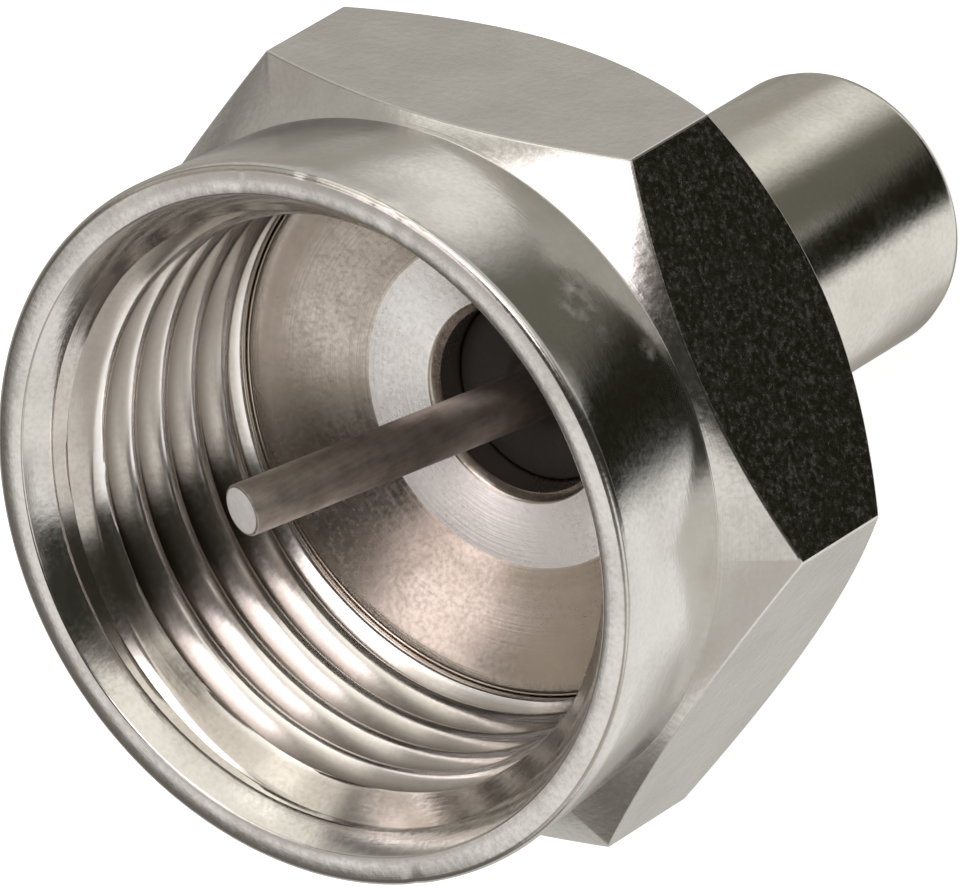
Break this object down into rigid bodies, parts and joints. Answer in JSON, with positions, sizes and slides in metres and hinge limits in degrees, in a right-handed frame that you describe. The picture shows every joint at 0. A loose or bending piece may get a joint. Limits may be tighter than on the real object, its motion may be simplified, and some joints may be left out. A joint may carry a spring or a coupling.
{
  "type": "coaxial terminator",
  "caption": "Screw-on coaxial terminator: a hexagonal coupling nut with a threaded mouth turns on a flanged post, with a slim barrel behind and a bent centre pin.",
  "frame": {"origin": "middle of the barrel's flat rear face", "axes": "+Z along the axis towards the mouth, so the part stands on its barrel with the mouth up; +X through a corner of the hexagon at rest"},
  "size_m": [0.0128, 0.011, 0.0152],
  "materials": {
    "nickel_plate": "bright nickel plate over turned brass",
    "tinned_lead": "dull tinned wire",
    "black_insulator": "moulded, matt",
    "ceramic": "fired ceramic rod",
    "resistor_coat": "dipped lacquer",
    "solder": "soft solder"
  },
  "bodies": {
    "body": {"post": "nickel_plate", "barrel": "nickel_plate", "insulator_bead": "black_insulator", "centre_pin": "tinned_lead", "resistor_core": "ceramic", "front_cap": "tinned_lead", "rear_cap": "tinned_lead", "resistor_coating": "resistor_coat", "ground_lead": "tinned_lead", "solder_joint": "solder"},
    "nut": {"coupling_nut": "nickel_plate"}
  },
  "joints": [
    {"name": "nut_swivel", "type": "hinge", "parent": "body", "child": "nut", "pos_m": [0, 0, 0.00805], "axis": [0, 0, 1], "continuous": true}
  ]
}
